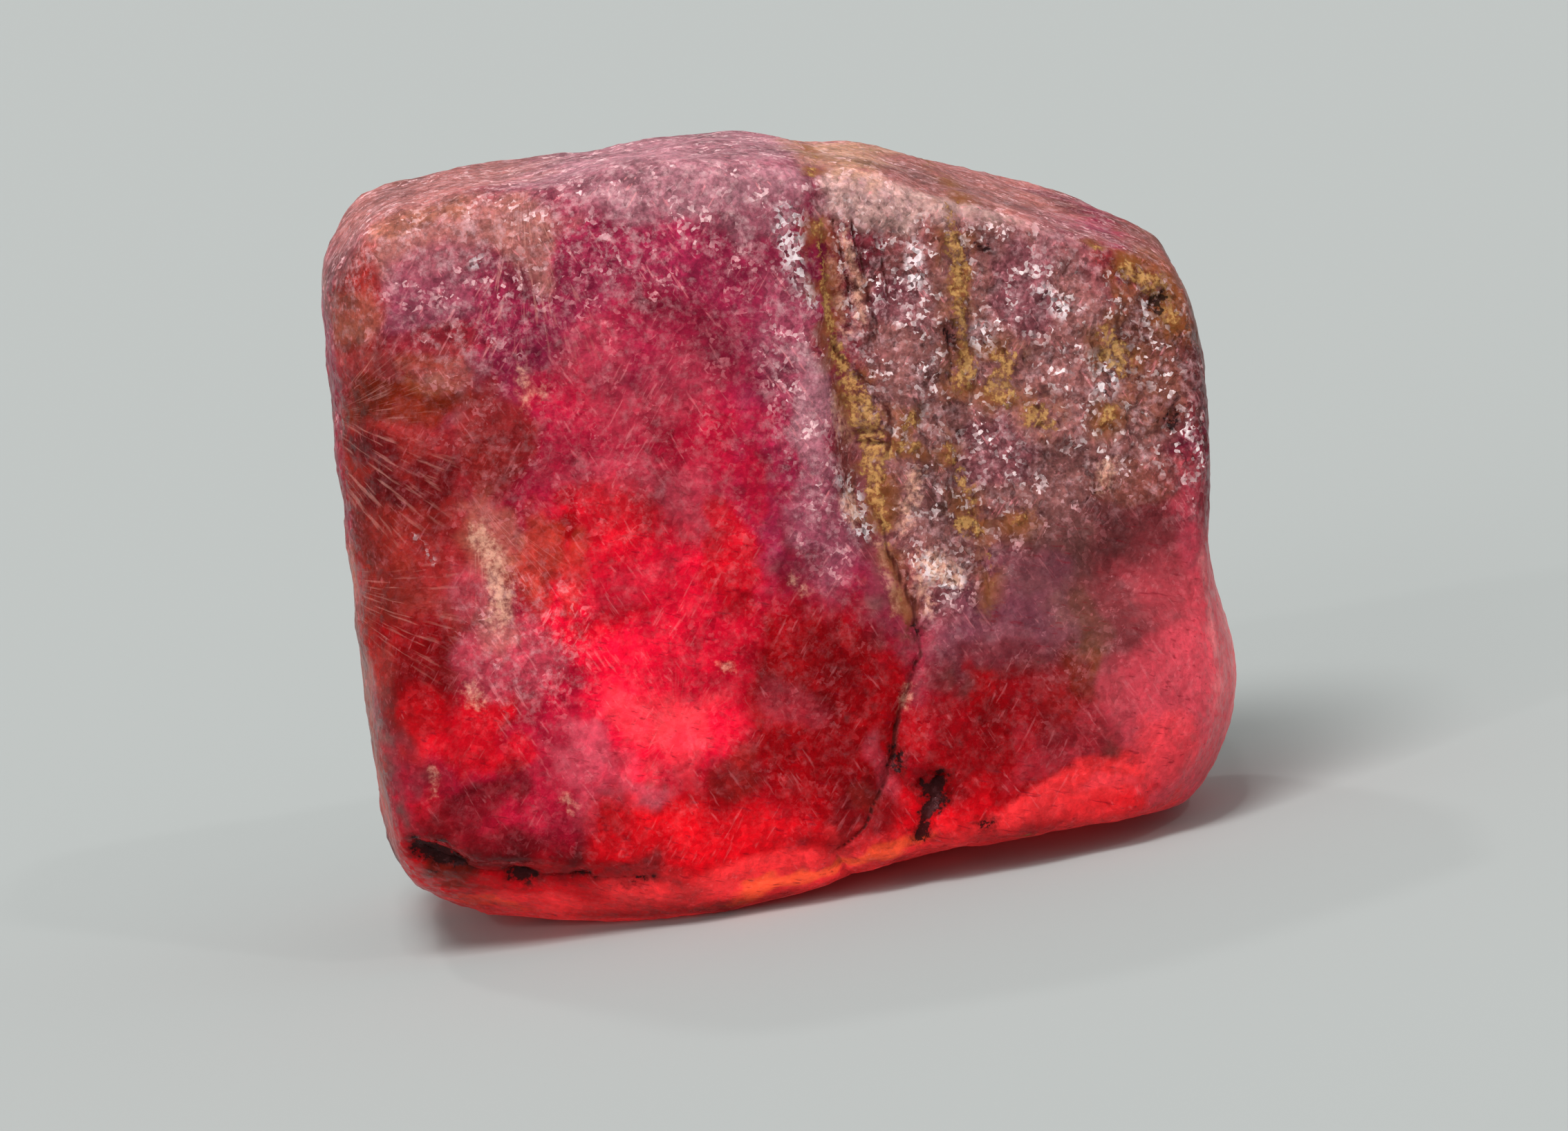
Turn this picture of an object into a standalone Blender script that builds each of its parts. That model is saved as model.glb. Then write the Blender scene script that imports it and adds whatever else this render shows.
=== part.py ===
"""A raw ruby: one broken, water-worn piece of corundum that rests on a flat of its own. Metres, +Z up.

The stone is built outwards from its heart. Rays run from the heart to a field of crystal faces, fracture
faces and one rounded lobe, which gives the worn block. Parting cracks, ledges, pits and lumps are then cut
into its surface, and the mesh is thinned to a light faceted solid.
"""

import math

import bmesh
import bpy
import numpy as np
from mathutils import Vector, noise

MM = 0.001
NAME = "ruby_crystal"

# Driving dimensions, in millimetres. X runs along the crystal's main axis, Y from front to back. DEPTH is
# between the front and back faces, past which the lobe and the lumps bulge a little.
LENGTH = 21.3
DEPTH = 14.6
HEIGHT = 18.0
HEART = np.array((0.0, 0.0, HEIGHT / 2))
FRONT = -DEPTH / 2
BACK = DEPTH / 2
LEFT = -LENGTH / 2 + 0.4
RIGHT = LENGTH / 2 + 0.25
CREST = HEIGHT + 0.03
RIDGE_Y = 0.8

# Crystal and fracture faces: azimuth from the front towards +X and elevation, in degrees, a point on the
# face, and how far wear has rounded its edges.
FACES = (
    ("front_left", -2, 2, (-4.0, FRONT + 0.1, 9.0), 0.8),
    ("front_right", 17, 6, (2.2, FRONT + 0.2, 9.0), 0.9),
    ("left_margin", -50, 5, (-8.6, FRONT + 0.2, 13.0), 0.5),
    ("left_end", -90, 4, (LEFT, 0.0, 8.0), 0.5),
    ("left_heel", -88, 0, (LEFT - 0.22, 0.0, 5.0), 0.5),
    ("left_foot", -84, -42, (LEFT - 0.45, 0.0, 1.75), 1.0),
    ("left_under", -80, -70, (-7.3, -5.0, 0.3), 0.8),
    ("top_front", -50, 88.6, (-3.0, RIDGE_Y, CREST), 1.2),
    ("top_right", 88, 74.5, (0.0, RIDGE_Y, CREST + 0.33), 1.0),
    ("shoulder", 88, 61.5, (6.5, RIDGE_Y, 15.4), 0.8),
    ("left_crown", -90, 40, (-9.25, 0.0, 17.15), 0.9),
    ("top_back", 178, 62, (-3.0, RIDGE_Y, CREST), 1.4),
    ("rear_ridge", 150, 66, (3.0, 3.0, 16.8), 0.9),
    ("right_upper", 90, 11, (RIGHT, 0.0, 10.9), 0.8),
    ("right_waist", 90, -11, (RIGHT, 0.0, 10.5), 1.0),
    ("back", 188, 5, (0.0, BACK, 9.0), 1.2),
    ("back_left", -128, 4, (-8.2, BACK - 1.2, 9.0), 1.2),
    ("back_right", 138, 2, (8.4, BACK - 1.6, 9.0), 1.2),
    ("back_under", 172, -42, (0.0, BACK - 0.9, 3.2), 1.4),
    ("right_foot", 80, -40, (9.0, 0.0, 0.95), 0.8),
    ("left_toe", -30, -55, (-5.2, -5.1, 0.0), 0.6),
    ("front_under", 2, -55, (0.0, FRONT + 0.2, 0.7), 0.5),
)
# Right of the seam's foot the underside lifts a little off the ground towards the front.
RIGHT_UNDER = (0, -83, (4.0, -6.0, 0.62))
SEAM_RISE = (55, -78, (-1.6, -6.0, 0.0))
LIFT_ROUNDING = 0.3
BASE_ROUNDING = 0.4

# The smooth rounded lobe low on the right.
LOBE_CENTRE = np.array((6.9, -1.8, 3.7))
LOBE_RADII = np.array((3.4, 5.2, 3.95))
LOBE_BLEND = 0.8

# Hollows struck out of the block: centre, radius and edge rounding.
SCOOPS = (
    ((-5.5, 15.4, 13.5), 9.6, 0.5),
    ((5.8, 14.2, 7.6), 8.2, 0.5),
    ((-16.6, 1.8, 10.5), 7.2, 0.5),
    ((-3.0, 5.2, 21.9), 5.4, 0.6),
    ((16.5, 3.4, 12.0), 6.1, 0.6),
)

# Parting cracks that run round the stone square to its main axis, as (height, X) pairs from the foot up.
SEAM = (
    (1.2, 0.2),
    (1.7, 0.9),
    (2.8, 1.7),
    (3.5, 2.0),
    (5.2, 2.8),
    (6.5, 2.6),
    (8.2, 2.3),
    (9.5, 1.9),
    (17.2, 2.0),
)
PARTING = ((5.8, 4.5), (8.7, 4.5), (10.1, 4.4), (11.5, 4.9), (13.3, 5.0), (15.7, 5.2))
REAR_CRACK = ((1.5, -4.2), (6.0, -3.6), (11.0, -4.4), (16.0, -3.7))
SEAM_WIDTH = 0.28
SEAM_DEPTH = 0.24
PARTING_WIDTH = 0.26
PARTING_DEPTH = 0.24
# The stone right of the seam stands lower. The step grows over one range of heights and dies out over
# another, where a share of the seam is left on the crest, and it fades to the right over a distance.
SEAM_STEP = 0.34
STEP_GROWS = (4.0, 7.0)
SEAM_DIES = (13.4, 16.6)
CREST_SHARE = 0.25
STEP_FADE = 3.0
# The cracks sway from front to back: by how much, at what rate, and so that they are unswayed at the front.
SWAY = 0.35
SWAY_RATE = 0.55
SWAY_SHIFT = 3.9

# The dark crevice along the foot of the front, as (X, height) pairs.
CREVICE = ((-9.6, 2.8), (-8.4, 2.1), (-7.4, 1.8), (-5.9, 1.55), (-4.4, 1.3))
CREVICE_DEPTH = 0.30
CREVICE_WIDTH = 0.24

# Pits and hollows in the front: X, height, half width, half height and depth.
FRONT_PITS = (
    (-9.3, 2.6, 0.55, 0.30, 0.35),
    (-7.4, 1.8, 0.45, 0.22, 0.25),
    (2.5, 2.3, 0.55, 0.45, 0.40),
    (2.0, 1.5, 0.30, 0.50, 0.30),
    (2.3, 10.8, 0.42, 1.40, 0.30),
    (2.5, 9.6, 0.55, 0.70, 0.22),
    (4.3, 8.1, 0.45, 0.40, 0.22),
    (5.6, 11.2, 0.55, 0.60, 0.20),
    (6.4, 9.0, 0.35, 0.90, 0.22),
    (7.5, 6.4, 0.70, 0.60, 0.35),
    (8.6, 11.6, 0.55, 0.60, 0.20),
    (9.7, 12.6, 0.50, 0.60, 0.22),
    (6.5, 4.7, 0.50, 0.60, 0.22),
    (7.85, 1.8, 0.22, 1.10, 0.28),
    (-8.3, 13.4, 1.10, 0.45, 0.14),
    (-6.9, 9.2, 0.40, 1.30, 0.12),
)

# Lumps left by uneven wear, coarse over the whole stone and sharp where the skin is rough.
LUMP_SIZE = 4.2
LUMP_HEIGHT = 0.16
CHIP_SIZE = 1.5
CHIP_HEIGHT = 0.17
FLAT_ZONE = 0.7
# How far the skin must turn towards the front or the back to belong to it.
FACING = (0.25, 0.6)

SPHERE_SUBDIVISIONS = 7
GRAIN = 0.20
MOST_TRIANGLES = 9600
GROUND_SNAP = 0.07
SHARP_ANGLE = math.radians(32)


def face_normal(azimuth, elevation):
    a = math.radians(azimuth)
    e = math.radians(elevation)
    return np.array((math.sin(a) * math.cos(e), -math.cos(a) * math.cos(e), math.sin(e)))


def smooth_max(a, b, width):
    """The larger of two fields, blended where they differ by less than width."""
    near = np.clip(width - np.abs(a - b), 0.0, None) / width
    return np.maximum(a, b) + near * near * width / 4


def smooth_step(value, low, high):
    t = np.clip((value - low) / (high - low), 0.0, 1.0)
    return t * t * (3 - 2 * t)


def face_field(points, azimuth, elevation, through):
    """Distance outside one flat face."""
    return (points - np.array(through)) @ face_normal(azimuth, elevation)


def lifted_foot(points):
    """The wedge missing from under the front, right of the seam."""
    return np.minimum(face_field(points, *RIGHT_UNDER), face_field(points, *SEAM_RISE))


def block_field(points):
    """Distance outside the worn block, negative inside it."""
    field = np.full(len(points), -100.0)
    for _, azimuth, elevation, through, rounding in FACES:
        field = smooth_max(field, face_field(points, azimuth, elevation, through), rounding)
    for centre, radius, rounding in SCOOPS:
        field = smooth_max(field, radius - np.linalg.norm(points - np.array(centre), axis=1), rounding)
    lobe = (np.linalg.norm((points - LOBE_CENTRE) / LOBE_RADII, axis=1) - 1) * LOBE_RADII.min()
    field = -smooth_max(-field, -lobe, LOBE_BLEND)
    field = smooth_max(field, lifted_foot(points), LIFT_ROUNDING)
    return smooth_max(field, -points[:, 2], BASE_ROUNDING)


def reach(directions):
    """How far each ray from the heart runs inside the block, found by halving."""
    near = np.zeros(len(directions))
    far = np.full(len(directions), LENGTH)
    for _ in range(30):
        middle = (near + far) / 2
        outside = block_field(HEART + directions * middle[:, None]) > 0
        far = np.where(outside, middle, far)
        near = np.where(outside, near, middle)
    return (near + far) / 2


def field_normals(points):
    step = 0.02
    slopes = [block_field(points + step * axis) - block_field(points - step * axis) for axis in np.eye(3)]
    normals = np.stack(slopes, axis=1)
    return normals / np.linalg.norm(normals, axis=1, keepdims=True)


def noise_at(points, size, shift=0.0):
    return np.array([noise.noise(Vector(p) / size + Vector((shift, shift, shift))) for p in points])


def beside(line, points):
    """How far each point lies to the right of a crack that rises through (height, X) pairs."""
    heights, offsets = np.array(line).T
    sway = SWAY * np.sin(SWAY_RATE * points[:, 1] + SWAY_SHIFT)
    return points[:, 0] - np.interp(points[:, 2], heights, offsets) - sway


def along(line, heights):
    """1 between the ends of a crack, falling to 0 past them."""
    low, high = line[0][0], line[-1][0]
    return smooth_step(heights, low - 0.6, low + 0.2) * (1 - smooth_step(heights, high - 0.2, high + 0.6))


def groove(offset, width):
    return np.exp(-((offset / width) ** 2))


def seam_relief(points):
    """The main parting: a crack, with the stone on its right standing lower."""
    offset = beside(SEAM, points)
    step = SEAM_STEP * smooth_step(offset, -0.15, 0.2) * np.exp(-np.clip(offset, 0, None) / STEP_FADE)
    step *= smooth_step(points[:, 2], *STEP_GROWS)
    below_crest = 1 - (1 - CREST_SHARE) * smooth_step(points[:, 2], *SEAM_DIES)
    return -(SEAM_DEPTH * groove(offset, SEAM_WIDTH) + step) * below_crest


def parting_relief(points, front, back):
    crack = groove(beside(PARTING, points), PARTING_WIDTH) * along(PARTING, points[:, 2])
    rear_crack = groove(beside(REAR_CRACK, points), PARTING_WIDTH) * along(REAR_CRACK, points[:, 2])
    return -PARTING_DEPTH * (crack * np.maximum(front, 0.6 * back) + rear_crack * back)


def crevice_relief(points, front):
    across, heights = np.array(CREVICE).T
    inside = smooth_step(points[:, 0], across[0] - 0.5, across[0]) * (
        1 - smooth_step(points[:, 0], across[-1], across[-1] + 0.8)
    )
    drop = points[:, 2] - np.interp(points[:, 0], across, heights)
    return -CREVICE_DEPTH * front * inside * groove(drop, CREVICE_WIDTH)


def pit_relief(points, front):
    relief = np.zeros(len(points))
    for x, z, half_width, half_height, depth in FRONT_PITS:
        away = ((points[:, 0] - x) / half_width) ** 2 + ((points[:, 2] - z) / half_height) ** 2
        relief -= depth * np.exp(-away) * front
    return relief


def roughness_of(points, front):
    """How broken the skin is: rough right of the seam and behind, smoother on the front left and the lobe."""
    right = smooth_step(points[:, 0], 1.6, 2.6)
    rough = front * np.maximum(right, 0.25) + (1 - front) * 0.75
    lobe = np.linalg.norm((points - LOBE_CENTRE) / (LOBE_RADII + 0.7), axis=1)
    return rough * smooth_step(lobe, 0.95, 1.15)


def surface_relief(points, normals):
    """How far the skin stands above (or sits below) the worn block, in millimetres."""
    front = smooth_step(-normals[:, 1], *FACING)
    back = smooth_step(normals[:, 1], *FACING)
    lumps = noise_at(points, LUMP_SIZE, 3.1) + 0.5 * noise_at(points, LUMP_SIZE / 2, 7.7)
    chips = noise_at(points, CHIP_SIZE, 1.3) + 0.6 * np.abs(noise_at(points, CHIP_SIZE / 2, 5.9))
    relief = LUMP_HEIGHT * lumps + CHIP_HEIGHT * chips * roughness_of(points, front)
    relief += seam_relief(points) + parting_relief(points, front, back)
    relief += crevice_relief(points, front) + pit_relief(points, front)
    return relief * smooth_step(points[:, 2], 0.0, FLAT_ZONE)


def stone_mesh():
    """A dense closed mesh of the whole stone, in metres."""
    mesh = bmesh.new()
    bmesh.ops.create_icosphere(mesh, subdivisions=SPHERE_SUBDIVISIONS, radius=1.0)
    directions = np.array([v.co.normalized() for v in mesh.verts])
    points = HEART + directions * reach(directions)[:, None]
    normals = field_normals(points)
    points += normals * surface_relief(points, normals)[:, None]
    for vertex, point in zip(mesh.verts, points):
        vertex.co = Vector(point * MM)
    bmesh.ops.recalc_face_normals(mesh, faces=mesh.faces)
    data = bpy.data.meshes.new(NAME)
    mesh.to_mesh(data)
    mesh.free()
    return data


def apply_modifiers(stone):
    evaluated = stone.evaluated_get(bpy.context.evaluated_depsgraph_get())
    shaped = bpy.data.meshes.new_from_object(evaluated)
    stone.modifiers.clear()
    before = stone.data
    stone.data = shaped
    bpy.data.meshes.remove(before)


def thin(stone):
    """Collapses the dense mesh to a light one."""
    remesh = stone.modifiers.new("even", "REMESH")
    remesh.mode = "VOXEL"
    remesh.voxel_size = GRAIN * MM
    apply_modifiers(stone)
    decimate = stone.modifiers.new("thin", "DECIMATE")
    decimate.ratio = MOST_TRIANGLES / sum(len(face.vertices) - 2 for face in stone.data.polygons)
    apply_modifiers(stone)


def stand(stone):
    """Lays the foot exactly on the ground, and centres the stone's box over the origin."""
    vertices = stone.data.vertices
    middle = [(min(v.co[axis] for v in vertices) + max(v.co[axis] for v in vertices)) / 2 for axis in (0, 1)]
    for vertex in vertices:
        vertex.co.x -= middle[0]
        vertex.co.y -= middle[1]
        if vertex.co.z < GROUND_SNAP * MM:
            vertex.co.z = 0.0


def ruby_material():
    material = bpy.data.materials.new("ruby")
    material.use_nodes = True
    shader = material.node_tree.nodes["Principled BSDF"]
    shader.inputs["Base Color"].default_value = (0.33, 0.035, 0.07, 1.0)
    shader.inputs["Roughness"].default_value = 0.42
    shader.inputs["IOR"].default_value = 1.76
    shader.inputs["Subsurface Weight"].default_value = 0.35
    shader.inputs["Subsurface Radius"].default_value = (1.0, 0.12, 0.16)
    shader.inputs["Subsurface Scale"].default_value = 2.5 * MM
    return material


def clear_scene():
    for obj in list(bpy.data.objects):
        bpy.data.objects.remove(obj)


def main():
    clear_scene()
    collection = bpy.data.collections.new(NAME)
    bpy.context.scene.collection.children.link(collection)
    stone = bpy.data.objects.new(NAME, stone_mesh())
    collection.objects.link(stone)
    thin(stone)
    stand(stone)
    stone.data.name = NAME
    stone.data.shade_smooth()
    stone.data.set_sharp_from_angle(angle=SHARP_ANGLE)
    stone.data.materials.clear()
    stone.data.materials.append(ruby_material())


main()
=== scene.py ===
"""The looks of the raw ruby: a worn, frosted corundum block with a glowing foot and a stained seam.

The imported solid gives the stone's form. Its skin is rebuilt finer, chipped, grooved and pitted in mesh code,
and painted with named patches of colour held as attributes, which the material breaks up with fine noise.
Lengths in this script are in millimetres; X runs right, Y back and Z up.
"""

import math

import bmesh
import bpy
import numpy as np
from mathutils import Matrix, Vector, noise


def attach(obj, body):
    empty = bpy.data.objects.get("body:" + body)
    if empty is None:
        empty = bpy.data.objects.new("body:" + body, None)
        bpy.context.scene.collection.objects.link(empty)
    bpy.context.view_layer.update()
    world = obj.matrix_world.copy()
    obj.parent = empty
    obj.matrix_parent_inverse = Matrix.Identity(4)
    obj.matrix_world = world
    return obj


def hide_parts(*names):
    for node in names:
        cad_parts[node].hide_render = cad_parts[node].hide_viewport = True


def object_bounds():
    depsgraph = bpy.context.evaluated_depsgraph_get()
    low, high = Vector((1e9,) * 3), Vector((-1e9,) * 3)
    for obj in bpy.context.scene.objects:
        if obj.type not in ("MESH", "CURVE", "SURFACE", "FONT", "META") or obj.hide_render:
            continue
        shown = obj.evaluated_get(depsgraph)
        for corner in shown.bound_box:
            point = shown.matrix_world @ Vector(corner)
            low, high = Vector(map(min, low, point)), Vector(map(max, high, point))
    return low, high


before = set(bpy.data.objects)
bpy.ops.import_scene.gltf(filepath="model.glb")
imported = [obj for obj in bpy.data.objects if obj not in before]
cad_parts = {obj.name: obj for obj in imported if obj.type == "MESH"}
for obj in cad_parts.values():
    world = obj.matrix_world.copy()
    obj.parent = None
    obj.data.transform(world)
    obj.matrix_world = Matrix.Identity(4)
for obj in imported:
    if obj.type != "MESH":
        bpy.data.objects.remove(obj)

CAD_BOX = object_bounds()
NODE = "ruby_crystal"
MM = 0.001

# Blender's vector noise takes its offsets from this seed, so every run gives the same stone.
SEED = 3
noise.seed_set(SEED)

# The camera looks slightly down, and is rolled.
VIEW_ELEVATION = math.radians(8.0)
VIEW_ROLL = math.radians(9.5)
VIEW_DISTANCE = 300.0
AIM = Vector((-0.055, 0.0, 7.143))
SENSOR = 36.0
IMAGE_WIDTH = 2268
PIXELS_PER_MM = 60.0
NEAR_CLIP = 10.0
FAR_CLIP = 20000.0

# The studio: a floor, an even sky and far lights.
# Each light has a name, an azimuth, an elevation, a strength and a spread, with angles in degrees.
FLOOR_SIZE = 6000.0
FLOOR_COLOUR = (0.33, 0.341, 0.336, 1.0)
STUDIO_COLOUR = (0.56, 0.585, 0.575, 1.0)
SUNS = (
    ("key", -20, 58, 2.6, 24),
    ("front", -25, 15, 0.8, 30),
    ("spark_left", -40, 30, 0.3, 2.5),
    ("spark_right", 35, 40, 0.3, 2.5),
    ("spark_top", 5, 65, 0.3, 2.5),
    ("spark_back", 200, 45, 0.4, 4),
)

# The skin's mesh: its grain, and how far a face must turn to the front to be split finer.
VOXEL = 0.185
SMOOTH_PASSES = 6
FRONT_SPLIT = 0.3

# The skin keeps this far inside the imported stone's box. Its flat foot has no relief.
WALL = 0.02
FOOT = 0.03
FLAT_ZONE = 0.6

# How far a normal turns to the front, the back or upwards, from not counted to counted in full.
FACING = (0.2, 0.55)
LEVEL = (0.25, 0.75)

# Cracks that run round the stone, as (height, X) pairs from the foot up. They sway from front to back.
SEAM = (
    (1.2, 0.1), (1.7, 0.8), (2.8, 1.6), (3.5, 1.9), (4.6, 2.25), (5.5, 2.75), (6.5, 2.75),
    (8.2, 2.35), (9.5, 1.95), (12.0, 1.9), (14.0, 1.8), (16.0, 1.95), (17.2, 1.9),
)
PARTING = ((5.8, 4.5), (8.7, 4.4), (10.1, 4.3), (11.5, 4.95), (13.3, 5.0), (15.9, 5.15))
REAR_CRACK = ((1.5, -4.2), (6.0, -3.6), (11.0, -4.4), (16.0, -3.7))
SWAY = 0.35
SWAY_RATE = 0.55
SWAY_SHIFT = 3.9
SEAM_WIDTH = 0.07
PARTING_WIDTH = 0.06
SEAM_TIGHTENS = (7.5, 10.5)

# The smooth lobe low on the right, as in the solid.
LOBE_CENTRE = np.array((6.9, -1.8, 3.7))
LOBE_RADII = np.array((3.4, 5.2, 3.95))
LOBE_MARGIN = 1.6

# Heights between which the front's skin goes from whole to crushed, right of the seam.
CRUSHED_FROM = (5.0, 7.2)

# How high and how deep the relief is. The calm skin has this share of the crushed skin's chips.
CRACK_DEPTH = 0.12
PIT_DEPTH = 0.10
PALE_RISE = 0.02
OCHRE_RISE = 0.03
CALM_CHIPS = 0.28
STROKE_WIDTH = 0.05

# Layers of noise: each has its amount, its size and a shift that makes it unlike the others.
# These sway the strokes and cracks, roughen the relief and crush the sides.
WANDER = ((0.10, 0.9, 4.2), (0.05, 0.3, 8.1))
GRAIN = ((0.020, 0.9, 1.1), (0.016, 0.35, 2.3), (0.010, 0.17, 3.7))
CHIPS = ((0.13, 0.95, 5.0), (0.10, 0.42, 11.0), (0.05, 0.22, 17.0))
OCHRE_LUMPS = ((0.04, 0.22, 6.0),)
CRUSHED_CLOUDS = ((0.6, 4.0, 2.2),)
# These move and fray the edges of the colours, the glow and the frost.
DRIFT = ((0.40, 1.4, 0.7), (0.20, 0.5, 9.0))
FRAY = ((0.30, 0.6, 13.0), (0.22, 0.25, 15.0))
FRAY_CHIPS = ((0.20, 0.35, 19.0),)
GLOW_DRIFT = ((0.3, 1.2, 5.5),)
FROST_DRIFT = ((0.3, 1.5, 7.5),)
WINDOW_DRIFT = ((0.25, 0.6, 31.0),)
# These are the clouds and windows in the stone's colour.
CLOUD = ((1.0, 5.0, 3.0), (0.5, 2.2, 6.0))
BROAD_CLOUDS = ((0.55, 1.7, 21.0), (0.275, 0.8, 23.0))
WINDOWS = ((0.45, 0.9, 27.0), (0.27, 0.45, 29.0))
# These choose where the cracks are filled, where strokes rise or fall and where flakes cluster.
FILLED_PATCHES = ((1.0, 2.4, 1.9),)
VEINED_PLACES = ((1.0, 1.3, 41.0),)
CLUSTERS = ((1.0, 0.7, 43.0),)

# Spreads the chips' corners apart, so that neighbours tilt in unlike ways.
CHIP_MIX = 9.7

# The material's patterns: sizes and depths, and strokes as (turn in degrees, length, width).
CELL = 0.22
FACET = 0.13
FLAKE = 0.085
FINE = 0.14
CLOT = 0.30
NUDGE_SIZE = 0.45
NUDGE = 0.30
BUMP_SIZE = 0.24
BUMP_DEPTH = 0.06
DARK_STROKES = (20, 0.7, 0.08)
RISING_STROKES = (-50, 1.1, 0.09)
FALLING_STROKES = (65, 0.9, 0.09)
FIBRES_PER_RADIAN = 32.0
CORUNDUM_IOR = 1.76
LIGHT_DEPTH = 0.8

# How much of a colour's red, green and blue the strong, slightly cool light leaves to the skin.
ALBEDO = np.array((0.665, 0.635, 0.605))
CLOUDINESS_RANGE = (0.55, 1.7)

# Heights between which the ground's red and its flame colour, painted glow of light shone up from below, fade
# out.
WARM_UP_TO = (1.5, 7.5)
FLAME_UP_TO = (0.6, 1.9)

# The stone's own colours, with some painted glow among them, then those of its cracks, frost, flakes and
# fillings, with painted glints and painted shade among them.
COLOURS = {
    "wine": (100, 8, 14),
    "blood": (150, 0, 8),
    "scarlet": (214, 6, 22),
    "crimson": (178, 14, 50),
    "raspberry": (150, 34, 70),
    # hot red, salmon, flame and ember: painted glow of light shone up through the stone
    "hot red glow": (236, 10, 50),
    "salmon glow": (252, 70, 82),
    "flame glow": (242, 50, 56),
    "ember glow": (255, 86, 52),
    "rose": (192, 66, 86),
    "lobe pink": (210, 70, 86),
    # shell pink: painted glow at the lobe's rim
    "shell pink glow": (246, 140, 146),
    "mauve": (150, 76, 96),
    "lavender": (176, 120, 134),
    "dusty pink": (172, 106, 100),
    "ash pink": (212, 172, 168),
    "tan": (172, 106, 86),
    "peach": (204, 152, 124),
    "brick": (150, 34, 28),
    "rust": (116, 32, 12),
    "plum": (148, 94, 92),
    "violet": (118, 56, 74),
    "umber": (136, 80, 66),
    "copper": (156, 84, 50),
    "burnt": (182, 62, 44),
    "dusk": (84, 42, 42),
    "olive": (126, 82, 30),
    "old vein": (104, 4, 20),
    "healed": (228, 134, 140),
    "fibre": (216, 150, 138),
    "frost": (202, 156, 160),
    # gap: painted shade between the flakes
    "gap": (60, 28, 28),
    # pink and white flakes and glint: painted glints
    "pink glint flake": (236, 130, 140),
    "white glint flake": (240, 216, 216),
    "glint": (220, 204, 206),
    # glint gap: painted shade between the glints
    "glint gap shade": (56, 40, 42),
    "cream": (212, 160, 136),
    "iron film": (120, 68, 30),
    "dark ochre": (118, 74, 38),
    "light ochre": (178, 134, 80),
    "ochre edge": (96, 50, 24),
    # crack: painted shade in the cracks
    "crack": (62, 18, 14),
    "soot film": (66, 8, 6),
    "soot": (18, 10, 10),
    "black": (0, 0, 0),
}

# Patches all round the stone: colour, centre, radii and strength.
ROUND_PATCHES = (
    # The mauve and lavender over the top: partly the frosted skin's colour, partly painted light falling from
    # above.
    ("mauve", (0.0, 0.0, 17.5), (14.0, 10.0, 2.2), 0.8),
    ("lavender", (-1.5, -3.5, 18.0), (5.0, 4.5, 1.6), 0.8),
    ("dusty pink", (-6.9, -2.0, 17.6), (3.2, 6.0, 2.0), 0.8),
    ("dusty pink", (6.2, -1.0, 16.2), (5.2, 8.0, 2.2), 0.9),
    ("mauve", (8.8, -3.8, 15.0), (2.0, 3.4, 1.5), 0.6),
    ("dusty pink", (8.8, -3.8, 15.4), (1.8, 3.4, 1.4), 0.6),
    ("peach", (3.7, -3.0, 17.5), (2.4, 6.0, 1.0), 0.9),
    ("tan", (-7.6, 1.0, 17.8), (1.6, 2.5, 0.8), 0.7),
    ("brick", (-10.5, 0.0, 8.5), (1.6, 9.0, 7.0), 0.8),
    ("umber", (10.5, 0.0, 12.0), (2.0, 7.0, 4.5), 0.7),
    ("copper", (10.4, -3.5, 12.8), (1.2, 3.0, 1.8), 0.7),
    ("lobe pink", (9.0, -2.0, 3.8), (3.4, 6.5, 4.6), 0.9),
    # shell pink: painted glow at the lobe's rim
    ("shell pink glow", (10.9, -1.5, 3.8), (1.3, 6.0, 3.6), 0.5),
    ("crimson", (-2.0, 6.0, 3.0), (7.0, 3.5, 3.5), 0.7),
    ("tan", (-11.0, -5.5, 7.0), (1.0, 3.0, 9.0), 0.5),
    ("copper", (-6.0, 6.8, 12.0), (2.8, 2.0, 3.8), 0.4),
    ("umber", (5.0, 6.5, 11.5), (3.6, 2.4, 4.6), 0.45),
)
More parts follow.
